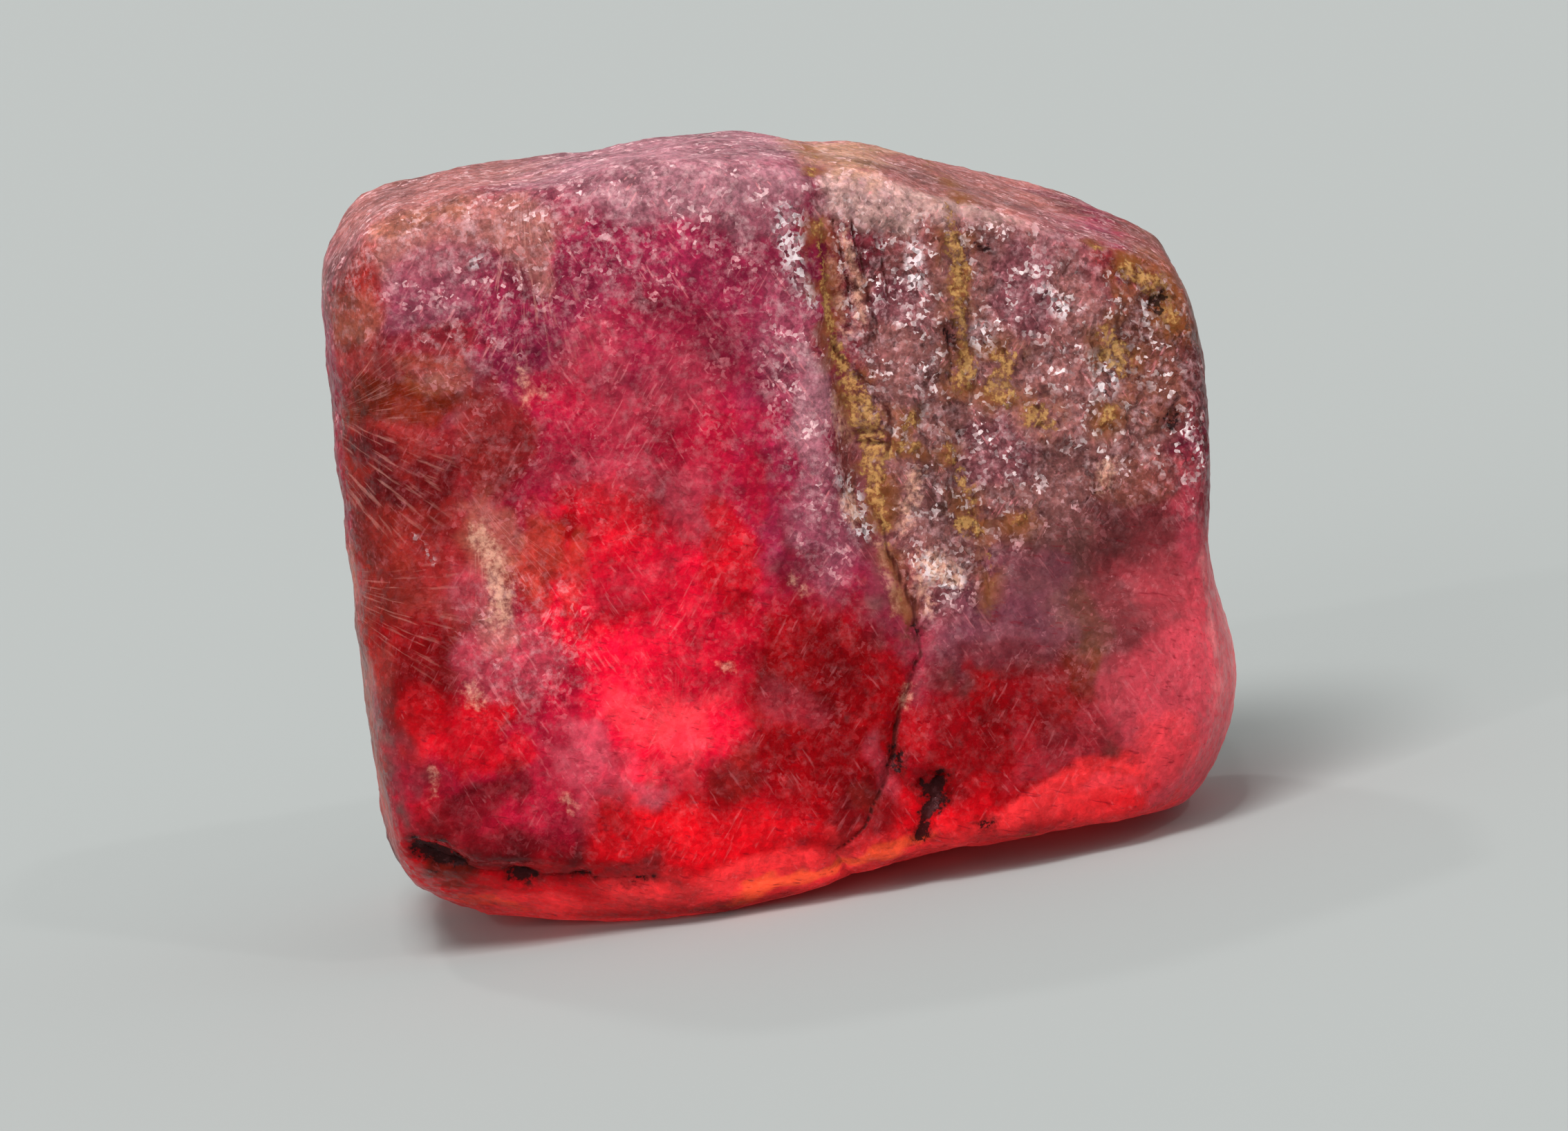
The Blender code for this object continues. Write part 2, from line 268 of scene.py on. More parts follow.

# Patches of the front: colour, X, height, half width, half height, tilt in degrees and strength.
# The hot red, salmon, flame, ember and shell pink patches are painted glow of light shone up through the
# stone.
FRONT_PATCHES = (
    ("raspberry", -2.4, 14.4, 5.2, 4.0, 0, 1.0),
    ("crimson", -2.2, 13.0, 2.4, 2.4, 0, 0.4),
    ("plum", 5.6, 10.2, 4.0, 6.2, 0, 1.0),
    ("brick", -8.8, 9.5, 2.0, 5.6, 0, 0.9),
    ("rust", -9.4, 10.4, 0.9, 3.6, 3, 0.45),
    ("crimson", -3.6, 10.4, 4.2, 3.2, 0, 0.8),
    ("hot red glow", -3.6, 6.6, 3.9, 3.4, 10, 1.0),
    ("crimson", -6.9, 4.9, 2.6, 2.7, 0, 0.9),
    ("scarlet", -7.6, 5.4, 1.4, 1.2, 0, 0.8),
    ("blood", 0.3, 4.6, 2.3, 3.3, -8, 1.0),
    ("blood", 4.6, 3.2, 2.9, 1.9, 0, 0.9),
    ("lobe pink", 9.2, 4.4, 2.6, 4.6, 6, 1.0),
    ("lavender", 0.0, 17.6, 3.8, 0.9, 0, 0.8),
    ("lavender", 0.8, 16.6, 1.3, 0.9, 0, 0.5),
    ("dusty pink", -6.6, 17.2, 3.0, 1.0, 0, 0.8),
    ("tan", -7.4, 17.7, 1.5, 0.4, 0, 0.7),
    ("brick", -9.6, 17.0, 1.4, 0.9, 0, 0.6),
    ("dusty pink", 5.6, 16.2, 3.4, 0.8, -20, 0.8),
    ("ash pink", 6.6, 15.9, 3.2, 1.1, -20, 0.85),
    ("ash pink", 4.2, 16.3, 2.2, 1.0, -8, 0.8),
    ("tan", 2.8, 14.4, 0.2, 1.2, 4, 0.6),
    ("peach", 3.8, 17.0, 1.6, 0.6, -8, 0.9),
    ("mauve", -7.0, 15.9, 1.7, 1.1, 0, 0.7),
    ("brick", -7.4, 14.6, 1.6, 0.6, -10, 0.6),
    ("brick", -8.8, 16.0, 0.8, 0.9, 0, 0.8),
    ("brick", -9.3, 14.6, 0.9, 2.6, 0, 0.6),
    ("rust", -9.4, 15.1, 0.7, 0.6, 0, 0.7),
    ("tan", -9.0, 15.6, 0.9, 0.8, 0, 0.4),
    ("dusty pink", -4.9, 16.7, 0.9, 1.4, 10, 0.8),
    ("raspberry", -5.6, 15.6, 0.8, 0.7, 0, 0.7),
    ("rust", -8.2, 13.4, 1.9, 0.6, -6, 1.0),
    ("copper", -7.4, 14.0, 1.1, 0.5, -15, 0.4),
    ("brick", -6.3, 12.2, 1.0, 1.6, 0, 0.8),
    ("brick", -8.0, 11.6, 1.8, 1.6, 0, 0.6),
    ("wine", -9.1, 12.3, 1.0, 0.5, -30, 0.8),
    ("wine", -8.8, 11.2, 0.8, 0.5, -20, 0.8),
    ("wine", -7.8, 11.6, 0.6, 0.8, 0, 0.8),
    ("crimson", -4.5, 13.2, 1.0, 0.8, 0, 0.7),
    ("rose", -2.4, 12.6, 1.9, 1.1, 15, 0.4),
    ("rose", -3.8, 13.9, 1.2, 0.8, 0, 0.4),
    ("crimson", -2.2, 11.3, 0.8, 0.5, -20, 1.0),
    ("crimson", -0.9, 11.2, 0.6, 0.7, 0, 0.8),
    ("rose", -3.6, 10.8, 1.3, 0.8, -10, 0.5),
    ("scarlet", -4.2, 9.7, 1.6, 1.2, 0, 0.7),
    ("blood", -5.0, 9.9, 0.35, 0.35, 0, 0.9),
    ("rose", -1.9, 9.9, 0.9, 1.2, 0, 0.5),
    ("scarlet", -1.3, 8.6, 0.8, 1.6, 4, 0.7),
    ("crimson", -0.3, 10.0, 0.3, 1.3, -4, 0.9),
    ("mauve", 1.0, 13.2, 0.9, 2.2, 0, 0.6),
    ("lavender", 1.2, 11.6, 0.6, 2.0, -4, 0.7),
    ("mauve", 1.1, 9.0, 0.9, 1.7, 0, 0.8),
    ("wine", 0.3, 8.0, 0.6, 0.5, 0, 0.5),
    ("burnt", -5.8, 9.2, 0.6, 1.4, -16, 0.7),
    ("burnt", -5.0, 8.8, 0.3, 1.1, -20, 0.6),
    ("tan", -6.8, 9.9, 0.8, 1.3, 0, 0.5),
    ("rose", -6.8, 7.1, 1.3, 1.2, 0, 0.8),
    ("dusty pink", -6.9, 8.1, 0.6, 1.0, 0, 0.6),
    ("rose", -7.6, 8.8, 0.7, 0.9, 0, 0.6),
    ("blood", -8.9, 7.0, 0.9, 1.6, 4, 0.9),
    ("scarlet", -9.0, 6.0, 0.6, 0.9, 0, 0.6),
    ("blood", -8.2, 7.8, 0.4, 0.4, 0, 0.8),
    ("rose", -6.4, 6.0, 0.5, 0.5, 0, 0.6),
    ("rose", -3.6, 8.2, 1.4, 0.3, 22, 0.35),
    ("scarlet", -4.3, 7.7, 1.2, 0.3, 15, 0.8),
    ("hot red glow", -4.2, 8.3, 1.9, 1.2, 15, 0.4),
    ("hot red glow", -4.9, 6.2, 0.6, 1.0, 0, 0.6),
    ("salmon glow", -4.1, 5.2, 1.1, 0.5, -28, 0.4),
    ("salmon glow", -3.2, 4.4, 0.5, 1.3, 14, 0.4),
    ("salmon glow", -2.6, 5.2, 0.9, 0.3, 40, 0.35),
    ("rose", -4.6, 4.2, 0.7, 0.4, -20, 0.45),
    ("rose", -5.5, 4.6, 0.7, 0.9, 0, 0.8),
    ("rose", -4.5, 3.4, 1.2, 0.4, -20, 0.6),
    ("crimson", -6.6, 5.1, 1.0, 0.7, 0, 0.8),
    ("scarlet", -6.9, 4.7, 0.6, 0.5, 0, 0.6),
    ("wine", -8.4, 3.6, 1.5, 0.7, 14, 0.8),
    ("wine", -7.2, 4.2, 0.6, 0.6, 0, 0.6),
    ("wine", -7.6, 2.6, 1.1, 0.6, -6, 0.8),
    ("scarlet", -4.9, 2.5, 1.3, 1.0, -10, 0.9),
    ("rose", -5.7, 3.2, 0.5, 0.5, 0, 0.4),
    ("scarlet", -3.0, 2.3, 2.0, 0.9, -8, 1.0),
    ("brick", -1.8, 3.6, 0.6, 0.7, 0, 0.6),
    ("rose", -0.5, 4.9, 0.9, 0.7, -20, 0.3),
    ("wine", 0.8, 2.0, 1.1, 0.8, 20, 0.7),
    ("rose", 1.5, 3.2, 0.25, 1.0, 14, 0.4),
    ("brick", 0.9, 2.3, 0.4, 0.5, 20, 0.6),
    ("violet", 4.8, 5.5, 2.1, 0.8, 0, 0.7),
    ("wine", 4.6, 5.0, 1.9, 0.7, 0, 0.6),
    ("violet", 4.0, 6.4, 1.5, 0.8, 0, 0.6),
    ("rose", 5.8, 2.8, 1.6, 0.7, 14, 0.25),
    ("wine", 5.6, 3.2, 0.6, 0.5, 0, 0.5),
    ("blood", 4.1, 4.0, 0.25, 1.2, 8, 0.9),
    ("rust", 6.5, 4.6, 0.5, 0.9, 12, 0.8),
    ("copper", 6.7, 4.9, 0.25, 0.6, 10, 0.5),
    ("olive", 6.8, 5.4, 0.35, 0.8, 12, 0.55),
    ("dusk", 7.8, 6.7, 1.8, 2.3, 14, 0.45),
    ("dusk", 7.1, 6.0, 1.2, 1.8, 14, 0.6),
    ("dusk", 5.4, 7.6, 1.8, 1.0, 0, 0.5),
    ("dusk", 8.4, 7.8, 1.3, 1.6, 20, 0.55),
    ("dusk", 8.0, 7.3, 0.5, 0.6, 20, 0.6),
    ("umber", 8.8, 8.6, 1.3, 0.7, 0, 0.6),
    ("flame glow", 6.3, 1.8, 2.1, 0.7, 14, 1.0),
    ("flame glow", 4.2, 1.3, 1.3, 0.35, 4, 0.8),
    ("salmon glow", 6.6, 1.7, 1.2, 0.22, 10, 0.6),
    ("scarlet", 3.4, 1.9, 0.6, 0.6, 0, 0.8),
    ("lobe pink", 8.8, 1.8, 1.4, 1.2, 0, 0.9),
    ("flame glow", 8.2, 2.3, 0.9, 1.0, -10, 0.35),
    ("salmon glow", 8.1, 2.3, 0.6, 0.9, -25, 0.35),
    ("rose", 9.9, 7.2, 0.9, 1.8, 8, 0.7),
    ("shell pink glow", 10.1, 4.4, 0.6, 2.6, 0, 0.9),
    ("violet", 5.3, 9.6, 0.9, 0.8, 0, 0.6),
    ("violet", 5.2, 6.6, 1.5, 1.2, 0, 0.6),
    ("violet", 3.6, 13.6, 1.0, 0.8, 0, 0.6),
    ("mauve", 6.6, 13.6, 0.8, 1.4, 4, 0.6),
    ("mauve", 7.6, 15.0, 1.6, 0.7, -25, 0.5),
    ("brick", 8.7, 13.9, 0.6, 0.6, 0, 0.6),
    ("copper", 9.2, 13.2, 0.7, 0.8, 0, 0.8),
    ("umber", 9.2, 11.2, 0.9, 2.0, 0, 0.8),
    ("flame glow", -2.0, 0.9, 4.2, 0.55, 4, 0.9),
    ("ember glow", -1.2, 0.6, 2.2, 0.26, 6, 0.9),
    ("ember glow", 0.9, 1.0, 1.3, 0.22, 10, 0.9),
    ("scarlet", -6.6, 1.1, 1.4, 0.5, -12, 0.9),
    ("flame glow", -7.0, 0.8, 2.6, 0.45, -12, 0.9),
    ("ember glow", -8.7, 1.05, 1.2, 0.25, -25, 0.7),
    ("rust", -9.0, 2.15, 0.9, 0.4, -20, 0.85),
)

# Painted glow that the skin emits for light shone up through the stone from below: X, height, half width, half
# height and strength on the front.
GLOW_PATCHES = (
    (-3.6, 6.4, 3.6, 3.4, 0.28),
    (-3.7, 5.0, 1.6, 1.8, 0.30),
    (-2.6, 2.2, 2.4, 1.0, 0.15),
    (-1.5, 0.8, 5.5, 0.6, 0.35),
    (5.8, 1.6, 2.8, 0.9, 0.25),
    (9.0, 2.4, 2.4, 2.8, 0.34),
    (-2.1, 12.0, 2.4, 3.4, 0.26),
    (-6.0, 5.8, 2.4, 3.0, 0.14),
    (-1.2, 0.6, 2.6, 0.35, 0.5),
    (-7.4, 0.9, 2.6, 0.7, 0.40),
    (0.9, 1.0, 1.6, 0.3, 0.5),
    (-6.6, 5.0, 1.3, 1.0, 0.10),
)
# The rim and foot glow are painted glow as well.
RIM_GLOW = 0.30
FOOT_GLOW = 0.35
FOOT_GLOW_HEIGHT = 1.6

# Frosted places on the front: X, height, half width, half height, where the fading starts and strength.
FROST_PATCHES = (
    (-6.2, 15.6, 2.5, 2.1, 0.5, 0.6),
    (1.1, 11.5, 1.15, 5.0, 0.4, 0.8),
    (-6.4, 7.4, 1.8, 2.2, 0.4, 0.5),
)

# Strokes on the front, as (X, height, half width) points: ochre filling, black grime, pale cream, dark lines
# and crushed places painted with glints. A half width that isn't given is STROKE_WIDTH, and one under 0 leaves
# a trace.
OCHRE = (
    ((2.0, 16.0, 0.05), (1.92, 14.5, 0.07), (1.95, 13.2, 0.10), (2.1, 12.4, 0.17), (2.32, 11.6, 0.28),
     (2.44, 11.0, 0.30), (2.42, 10.2, 0.29), (2.35, 9.4, 0.22), (2.4, 8.6, 0.06), (2.5, 7.4, -0.04),
     (2.65, 6.2, -0.05)),
    ((2.5, 10.3, 0.25), (2.95, 10.4, 0.18), (3.4, 10.3, 0.10)),
    ((5.15, 15.95, 0.05), (5.15, 15.2, 0.15), (5.15, 14.3, 0.20), (5.05, 13.4, 0.14), (4.95, 12.6, 0.12),
     (4.95, 12.0, 0.18), (4.85, 11.6, 0.28)),
    ((5.7, 12.05, 0.14), (6.0, 11.85, 0.22), (5.6, 11.35, 0.28), (5.75, 11.0, 0.22)),
    ((6.1, 10.6, 0.06), (6.4, 10.5, 0.30), (6.75, 10.15, 0.08)),
    ((3.4, 10.95, 0.16), (3.5, 10.9, 0.14)),
    ((4.15, 10.2, 0.07), (4.35, 9.6, 0.11), (4.5, 9.0, 0.09), (4.45, 8.5, 0.09)),
    ((4.34, 8.28, 0.25), (4.48, 8.14, 0.20)),
    ((5.42, 8.1, 0.06), (5.62, 8.12, 0.12), (5.78, 8.1, 0.03)),
    ((4.72, 7.6, 0.0), (4.65, 6.9, -0.02), (4.55, 6.3, -0.04)),
    ((8.4, 12.0, 0.22), (8.5, 11.5, 0.32), (8.55, 11.1, 0.18)),
    ((8.6, 14.6, 0.16), (8.5, 14.2, 0.18)),
    ((9.1, 13.4, 0.22), (9.7, 12.9, 0.25), (10.0, 12.0, 0.18)),
    ((8.2, 10.2, 0.16), (8.0, 10.0, 0.12)),
)
GRIME = (
    ((-9.7, 2.9, 0.22), (-9.2, 2.6, 0.34), (-8.8, 2.4, 0.18)),
    ((-7.6, 1.78, 0.13), (-7.35, 1.75, 0.21), (-7.1, 1.8, 0.09)),
    ((-6.1, 1.6, 0.05), (-5.8, 1.6, 0.05)),
    ((-4.9, 1.36, -0.02), (-4.4, 1.32, -0.02)),
    ((2.75, 2.5, 0.16), (2.55, 2.2, 0.24), (2.25, 1.75, 0.13), (2.05, 1.2, 0.16)),
    ((2.3, 2.45, 0.06), (2.45, 2.1, 0.1)),
    ((2.9, 2.1, 0.04), (2.6, 1.95, 0.06)),
    ((1.85, 3.35, 0.10), (1.8, 3.0, 0.07)),
    ((9.75, 12.5, 0.18), (9.7, 12.4, 0.12)),
    ((9.65, 9.8, 0.14), (9.5, 9.7, 0.12)),
    ((2.75, 6.2, 0.03), (2.8, 5.9, 0.03)),
    ((5.65, 14.65, 0.04), (5.8, 14.5, 0.04)),
    ((4.6, 12.9, 0.06), (4.75, 12.5, 0.08)),
    ((3.6, 1.35, 0.03), (3.75, 1.32, 0.03)),
)
PALE = (
    ((-6.95, 10.0, 0.16), (-6.75, 9.4, 0.22), (-6.75, 8.8, 0.16), (-6.8, 8.2, 0.20), (-7.0, 7.9, 0.06)),
    ((-7.8, 6.42, 0.06), (-7.74, 6.26, 0.10)),
    ((-5.4, 13.65, 0.0), (-5.35, 13.2, 0.06), (-5.4, 12.9, 0.0)),
    ((-5.3, 13.2, 0.0), (-4.95, 13.2, -0.04)),
    ((3.3, 7.75, 0.08), (3.55, 7.4, 0.20), (3.9, 7.1, 0.12)),
    ((3.05, 7.9, 0.02), (3.1, 7.2, 0.06), (3.1, 6.5, 0.04)),
    ((2.32, 8.3, 0.06), (2.4, 7.4, 0.07), (2.5, 6.6, 0.02)),
    ((3.35, 9.7, 0.06), (3.05, 9.0, 0.10), (2.9, 8.4, 0.04)),
    ((7.9, 8.9, 0.12), (7.6, 8.5, 0.0)),
    ((-9.0, 4.8, -0.06), (-9.1, 4.2, -0.06)),
    ((-6.05, 3.55, -0.06), (-5.95, 3.3, -0.04)),
    ((2.28, 4.7, 0.0), (2.2, 4.4, 0.02)),
    ((1.85, 11.7, 0.08), (1.88, 11.0, 0.13)),
    ((2.6, 15.7, -0.02), (2.72, 14.5, 0.07), (2.76, 13.4, 0.02)),
    ((2.2, 15.0, -0.02), (2.26, 14.0, 0.04), (2.28, 13.2, -0.02)),
    ((1.75, 9.3, 0.16), (1.8, 9.0, 0.10)),
    ((0.35, 7.5, -0.06), (0.0, 7.85, -0.08)),
    ((-2.0, 6.1, -0.08), (-1.7, 6.05, -0.06)),
)
LINES = (
    ((-9.6, 2.8, 0.02), (-8.4, 2.1, 0.01), (-7.4, 1.8, 0.02), (-5.9, 1.55, 0.0), (-4.4, 1.3, -0.02)),
    ((1.98, 12.9), (2.5, 12.1), (2.95, 11.2), (2.75, 10.2)),
    ((2.1, 10.86), (2.75, 10.78)),
    ((2.1, 10.62), (2.7, 10.5)),
    ((2.75, 8.0, -0.01), (2.85, 7.0, 0.0), (2.75, 6.0, 0.01)),
    ((2.40, 15.9, 0.01), (2.52, 14.4, 0.02), (2.5, 13.0, 0.0)),
    ((2.82, 16.0, 0.02), (2.95, 14.6, 0.02), (3.05, 13.2, 0.01), (2.95, 12.0, -0.01)),
    ((3.35, 15.2, 0.0), (3.42, 13.9, 0.01), (3.3, 12.6, -0.01)),
    ((6.5, 9.8, -0.01), (6.7, 9.0, -0.01), (6.98, 8.25, 0.0)),
    ((8.1, 9.2, -0.02), (7.6, 8.6, 0.0), (7.1, 8.2, -0.01)),
    ((6.05, 15.6, -0.03), (6.1, 14.2, -0.03)),
    ((-4.95, 4.35, -0.03), (-3.9, 3.75, -0.02), (-3.2, 3.3, -0.02), (-2.6, 3.15, -0.03)),
    ((4.75, 13.2, -0.02), (4.62, 11.9, 0.0), (4.5, 11.5, 0.0)),
)
# Crushed places painted with glints.
GLINTS = (
    ((1.4, 16.3, 0.20), (1.35, 15.8, 0.26), (1.3, 15.0, 0.10), (1.6, 14.0, 0.02)),
    ((4.25, 15.0, 0.08), (4.1, 14.2, 0.18)),
    ((6.8, 16.0, 0.28), (7.5, 15.6, 0.22), (8.4, 15.3, 0.26)),
    ((7.0, 13.3, 0.08), (7.5, 12.8, 0.14)),
    ((8.1, 11.5, 0.14), (8.25, 11.0, 0.18), (7.9, 10.3, 0.12)),
    ((5.45, 12.6, 0.20), (5.5, 12.3, 0.16)),
    ((3.4, 7.5, 0.22), (3.8, 7.1, 0.20)),
    ((-8.5, 10.3, -0.06), (-8.2, 9.6, -0.04)),
    ((-6.1, 16.4, 0.02), (-5.95, 16.4, 0.04)),
    ((9.7, 12.6, 0.25), (9.6, 12.2, 0.2)),
    ((1.7, 9.8, 0.15), (1.9, 8.7, 0.2)),
)

# Fans of pale fibres on the front: X and height of the focus, reach, direction and half spread in degrees,
# and strength.
FANS = (
    (-10.2, 13.2, 3.4, 22, 35, 0.45),
    (-11.6, 14.2, 6.6, -44, 22, 0.55),
    (-11.4, 9.4, 5.0, -20, 30, 0.4),
    (-4.6, 18.4, 5.6, -95, 26, 0.6),
    (-6.9, 10.8, 3.2, -75, 40, 0.5),
    (-3.2, 4.7, 1.8, 100, 170, 0.12),
)


def smooth_step(value, low, high):
    t = np.clip((value - low) / (high - low), 0.0, 1.0)
    return t * t * (3 - 2 * t)


def noise_at(points, size, shift):
    return np.array([noise.noise(p) for p in (points / size + shift).tolist()])


def warp_at(points, size, shift):
    return np.array([tuple(noise.noise_vector(p)) for p in (points / size + shift).tolist()])


def chips_at(points, size, shift):
    """A surface broken into flat chips, each tilted its own way, from about -0.5 to 0.5."""
    heights = np.empty(len(points))
    for i, p in enumerate((points / size + shift).tolist()):
        cell = noise.voronoi(p)[1][0]
        heights[i] = (Vector(p) - cell).dot(noise.noise_vector(cell * CHIP_MIX))
    return heights


def layered(field, layers, points):
    """The sum of a noise's layers, each given as its amount, size and shift."""
    return sum(amount * field(points, size, shift) for amount, size, shift in layers)


def linear(rgb):
    return np.array([(c / 255 / 12.92 if c <= 10 else ((c / 255 + 0.055) / 1.055) ** 2.4) for c in rgb])


def shade(name):
    return linear(COLOURS[name])


def blend(under, over, share):
    return under + (over - under) * share[:, None]


def groove(offset, width):
    return np.exp(-((offset / width) ** 2))


def beside(line, points):
    """How far each point lies to the right of a crack that rises through (height, X) pairs."""
    heights, offsets = np.array(line).T
    sway = SWAY * np.sin(SWAY_RATE * points[:, 1] + SWAY_SHIFT)
    return points[:, 0] - np.interp(points[:, 2], heights, offsets) - sway


def along(line, heights):
    """1 between the ends of a crack, falling to 0 past them."""
    low, high = line[0][0], line[-1][0]
    return smooth_step(heights, low - 0.6, low + 0.2) * (1 - smooth_step(heights, high - 0.2, high + 0.6))


def stroke_depth(strokes, points):
    """How deep each point lies inside the strokes, in millimetres seen from the front, negative outside."""
    deepest = np.full(len(points), -1.0)
    seen = points[:, (0, 2)]
    for stroke in strokes:
        knots = np.array([knot if len(knot) == 3 else (*knot, STROKE_WIDTH) for knot in stroke])
        for start, end in zip(knots[:-1], knots[1:]):
            run = end[:2] - start[:2]
            t = np.clip((seen - start[:2]) @ run / (run @ run), 0, 1)
            gap = np.linalg.norm(seen - start[:2] - t[:, None] * run, axis=1)
            deepest = np.maximum(deepest, start[2] + t * (end[2] - start[2]) - gap)
    return deepest


def seen_distance(points, x, z, half_width, half_height, tilt=0.0):
    """Distance from a tilted oval's centre seen from the front, 1 on its edge."""
    a = math.radians(tilt)
    across = (points[:, 0] - x) * math.cos(a) + (points[:, 2] - z) * math.sin(a)
    up = (points[:, 2] - z) * math.cos(a) - (points[:, 0] - x) * math.sin(a)
    return np.hypot(across / half_width, up / half_height)


def apply_modifiers(obj):
    evaluated = obj.evaluated_get(bpy.context.evaluated_depsgraph_get())
    shaped = bpy.data.meshes.new_from_object(evaluated)
    obj.modifiers.clear()
    obj.data = shaped


def split_front(mesh):
    """Halves the grain of the faces that face the front."""
    shell = bmesh.new()
    shell.from_mesh(mesh)
    shell.normal_update()
    front = {edge for face in shell.faces if -face.normal.y > FRONT_SPLIT for edge in face.edges}
    bmesh.ops.subdivide_edges(shell, edges=sorted(front, key=lambda e: e.index), cuts=1, use_grid_fill=True)
    bmesh.ops.triangulate(shell, faces=[face for face in shell.faces if len(face.verts) > 4])
    shell.to_mesh(mesh)
    shell.free()


def fine_skin():
    """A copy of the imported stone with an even, fine and smooth mesh."""
    skin = bpy.data.objects.new("ruby_skin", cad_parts[NODE].data.copy())
    bpy.context.scene.collection.objects.link(skin)
    remesh = skin.modifiers.new("even", "REMESH")
    remesh.mode = "VOXEL"
    remesh.voxel_size = VOXEL * MM
    apply_modifiers(skin)
    split_front(skin.data)
    smooth = skin.modifiers.new("smooth", "SMOOTH")
    smooth.factor = 0.5
    smooth.iterations = SMOOTH_PASSES
    apply_modifiers(skin)
    return skin


def read(mesh, field):
    values = np.empty(len(mesh.vertices) * 3, np.float32)
    mesh.vertices.foreach_get(field, values)
    return values.reshape(-1, 3).astype(float)


class Skin:
    """The skin's points and normals with the masks that its relief and its paint share."""

    def __init__(self, mesh):
        self.points = read(mesh, "co") / MM
        self.normals = read(mesh, "normal")
        self.front = smooth_step(-self.normals[:, 1], *FACING)
        self.back = smooth_step(self.normals[:, 1], *FACING)
        self.drawn = self.points + layered(warp_at, WANDER, self.points)
        self.seam = beside(SEAM, self.drawn)
        self.parting = beside(PARTING, self.drawn)
        self.rear_crack = beside(REAR_CRACK, self.drawn)
        self.off_lobe = self.outside_lobe()
        level = smooth_step(self.normals[:, 2], *LEVEL)
        self.crushed = self.crushing() * (1 - 0.6 * level)
        self.matte = np.clip(0.45 * (1 - self.front) + level, 0, 1)
        self.ochre = self.on_front(OCHRE)
        self.grime = self.on_front(GRIME)
        self.pale = self.on_front(PALE)
        self.lines = self.on_front(LINES)
        self.glints = self.on_front(GLINTS)

    def outside_lobe(self):
        away = np.linalg.norm((self.points - LOBE_CENTRE) / (LOBE_RADII + LOBE_MARGIN), axis=1)
        return smooth_step(away, 0.85, 1.15)

    def crushing(self):
        """How crushed the skin is: on the front, right of the seam, and in clouds on the other sides."""
        right = smooth_step(self.seam, -0.2, 0.4) * smooth_step(self.points[:, 2], *CRUSHED_FROM)
        clouds = np.clip(0.25 + layered(noise_at, CRUSHED_CLOUDS, self.points), 0, 1)
        return (self.front * right + (1 - self.front) * clouds) * self.off_lobe

    def on_front(self, strokes):
        """The depth inside strokes on the front, pushed well outside them elsewhere."""
        depth = stroke_depth(strokes, self.drawn)
        return np.where(self.front > 0.01, depth, -1.0) - (1 - self.front) * 0.5


def crack_field(skin):
    """Nearness to a crack, 1 in its bottom, all round the stone. The seam is tightest near the crest."""
    heights = skin.points[:, 2]
    seam = groove(skin.seam, SEAM_WIDTH) * (1 - 0.65 * smooth_step(heights, *SEAM_TIGHTENS))
    parting = groove(skin.parting, PARTING_WIDTH) * along(PARTING, heights)
    parting *= np.maximum(0.6 * skin.front, 0.7 * skin.back)
    rear = groove(skin.rear_crack, SEAM_WIDTH) * along(REAR_CRACK, heights) * skin.back
    lines = smooth_step(skin.lines, -0.06, 0.02)
    return np.clip(np.maximum.reduce((seam, parting, rear, lines)), 0, 1)


def relief_of(skin):
    """How far the fine skin stands above (or sits below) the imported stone, in millimetres."""
    points = skin.points
    chips = layered(chips_at, CHIPS, points)
    relief = layered(noise_at, GRAIN, points) + chips * (CALM_CHIPS + (1 - CALM_CHIPS) * skin.crushed)
    relief -= CRACK_DEPTH * crack_field(skin)
    relief -= PIT_DEPTH * smooth_step(skin.grime, -0.12, 0.12)
    relief += PALE_RISE * smooth_step(skin.pale, -0.05, 0.1)
    filling = OCHRE_RISE + layered(noise_at, OCHRE_LUMPS, points) - 0.6 * chips
    relief += smooth_step(skin.ochre, -0.05, 0.08) * filling
    return relief * smooth_step(points[:, 2], 0.0, FLAT_ZONE)


def shape_skin(mesh, skin):
    """Moves the skin by its relief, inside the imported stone's box, and keeps its foot flat."""
    low, high = (np.array(corner) / MM for corner in CAD_BOX)
    moved = skin.points + skin.normals * relief_of(skin)[:, None]
    moved[skin.points[:, 2] < FOOT, 2] = 0.0
    moved = np.clip(moved, low + (WALL, WALL, 0.0), high - WALL)
    mesh.vertices.foreach_set("co", (moved * MM).ravel().astype(np.float32))
    mesh.update()
    mesh.shade_smooth()


def ground_colour(skin, points, frayed):
    """Raspberry and plum clouds with darker wine clouds, redder and brighter towards the foot as painted glow
    of light from below.
    """
    cloud = layered(noise_at, CLOUD, points) + frayed
    colour = blend(shade("raspberry"), shade("plum"), smooth_step(cloud, -0.1, 0.5))
    colour = blend(colour, shade("wine"), 0.8 * smooth_step(-cloud, 0.1, 0.6))
    # Low down the ground turns to deep red and flame: painted glow of light shone up from below.
    warm = 1 - smooth_step(skin.points[:, 2] + 2.0 * cloud, *WARM_UP_TO)
    deep = blend(shade("scarlet"), shade("wine"), smooth_step(cloud, -0.3, 0.4))
    colour = blend(colour, deep, warm)
    return blend(colour, shade("flame glow"), 0.9 - 0.9 * smooth_step(points[:, 2], *FLAME_UP_TO))


